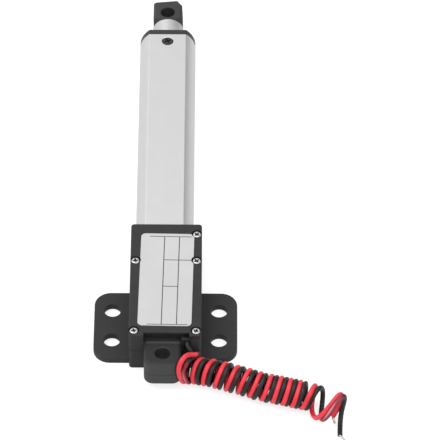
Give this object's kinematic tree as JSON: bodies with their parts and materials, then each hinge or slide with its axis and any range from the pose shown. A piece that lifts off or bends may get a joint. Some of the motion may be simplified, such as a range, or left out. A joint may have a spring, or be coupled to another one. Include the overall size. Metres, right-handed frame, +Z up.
{
  "type": "linear actuator",
  "caption": "Slim in-line electric linear actuator: flanged black gearbox housing, flat-sided aluminium tube, round rod, pin eye at each end and a coiled pair of leads.",
  "frame": {"origin": "centre of the four-hole pattern in the base flange, on its underside", "axes": "+Y along the stroke from the rear eye towards the front eye, +Z up out of the flange, +X across"},
  "size_m": [0.0668, 0.1608, 0.013],
  "materials": {
    "black_shell": "moulded glass-filled nylon, faint satin",
    "black_bush": "moulded acetal, satin",
    "black_rubber": "soft, matte",
    "plated_screw": "bright nickel",
    "black_oxide": "black oxide",
    "label_film": "satin film, thin ruled lines, no lettering",
    "anodised_tube": "clear anodised, satin",
    "rod_metal": "ground, satin",
    "bearing_steel": "ground",
    "motor_steel": "nickel plated",
    "motor_plastic": "moulded",
    "brass": "machined",
    "copper": "copper",
    "magnet": "sintered",
    "laminations": "stamped, stacked",
    "board": "solder mask",
    "switch_body": "moulded",
    "white_guide": "moulded acetal",
    "red_insulation": "soft PVC, slight gloss",
    "black_insulation": "soft PVC, slight gloss",
    "tinned_strand": "tinned copper strands"
  },
  "bodies": {
    "housing": {"base_housing": "black_shell", "cover_housing": "black_shell", "rear_eye": "black_shell", "cover_screws": "plated_screw", "rating_label": "label_film", "wire_grommet": "black_rubber", "outer_tube": "anodised_tube", "front_bush": "black_bush", "rod_wiper": "black_rubber", "bush_screw": "black_oxide", "bearing_carrier": "black_bush", "bearing_outer_ring": "bearing_steel", "gearbox_rear_plate": "brass", "gearbox_front_plate": "brass", "gearbox_posts": "brass", "gear_axle": "bearing_steel", "motor_can": "motor_steel", "motor_end_cap": "motor_plastic", "brush_terminals": "copper", "motor_magnets": "magnet", "motor_front_bush": "brass", "switch_board": "board", "limit_switches": "switch_body", "blocking_diodes": "switch_body", "red_lead_inner": "red_insulation", "black_lead_inner": "black_insulation", "motor_wires": "red_insulation", "red_lead_entry": "red_insulation", "black_lead_entry": "black_insulation", "lead_coil": "red_insulation", "red_lead_tail": "red_insulation", "black_lead_tail": "black_insulation", "red_lead_tip": "tinned_strand", "black_lead_tip": "tinned_strand"},
    "rod": {"piston_rod": "rod_metal", "front_eye": "black_shell", "drive_nut": "brass", "rod_guide": "white_guide"},
    "screw": {"lead_screw": "bearing_steel", "output_gear": "brass", "bearing_inner_ring": "bearing_steel"},
    "ball_set": {"bearing_balls": "bearing_steel", "bearing_cage": "brass"},
    "third_gear_set": {"third_gear": "brass"},
    "second_gear_set": {"second_gear": "brass"},
    "first_gear_set": {"first_gear": "brass"},
    "rotor": {"motor_pinion": "brass", "rotor_shaft": "bearing_steel", "rotor_core": "laminations", "rotor_windings": "copper", "commutator": "copper"}
  },
  "joints": [
    {"name": "rod_slide", "type": "slide", "parent": "housing", "child": "rod", "axis": [0, 1, 0], "range_m": [0, 0.075]},
    {"name": "screw_turn", "type": "hinge", "parent": "housing", "child": "screw", "pos_m": [-0.0006, 0, 0.0064], "axis": [0, -1, 0], "continuous": true},
    {"name": "ball_set_turn", "type": "hinge", "parent": "housing", "child": "ball_set", "pos_m": [-0.0006, 0, 0.0064], "axis": [0, -1, 0], "continuous": true},
    {"name": "third_gear_turn", "type": "hinge", "parent": "housing", "child": "third_gear_set", "pos_m": [0.00263, 0, 0.0064], "axis": [0, -1, 0], "continuous": true},
    {"name": "second_gear_turn", "type": "hinge", "parent": "housing", "child": "second_gear_set", "pos_m": [-0.0006, 0, 0.0064], "axis": [0, -1, 0], "continuous": true},
    {"name": "first_gear_turn", "type": "hinge", "parent": "housing", "child": "first_gear_set", "pos_m": [0.00263, 0, 0.0064], "axis": [0, -1, 0], "continuous": true},
    {"name": "motor_turn", "type": "hinge", "parent": "housing", "child": "rotor", "pos_m": [-0.0006, 0, 0.0064], "axis": [0, -1, 0], "continuous": true}
  ],
  "couplings": [
    {"joint": "screw_turn", "follows": "rod_slide", "rad_per_m": 6283.2},
    {"joint": "ball_set_turn", "follows": "rod_slide", "rad_per_m": 2618},
    {"joint": "third_gear_turn", "follows": "rod_slide", "rad_per_m": -17593},
    {"joint": "second_gear_turn", "follows": "rod_slide", "rad_per_m": 49260},
    {"joint": "first_gear_turn", "follows": "rod_slide", "rad_per_m": -137930},
    {"joint": "motor_turn", "follows": "rod_slide", "rad_per_m": 386200}
  ]
}
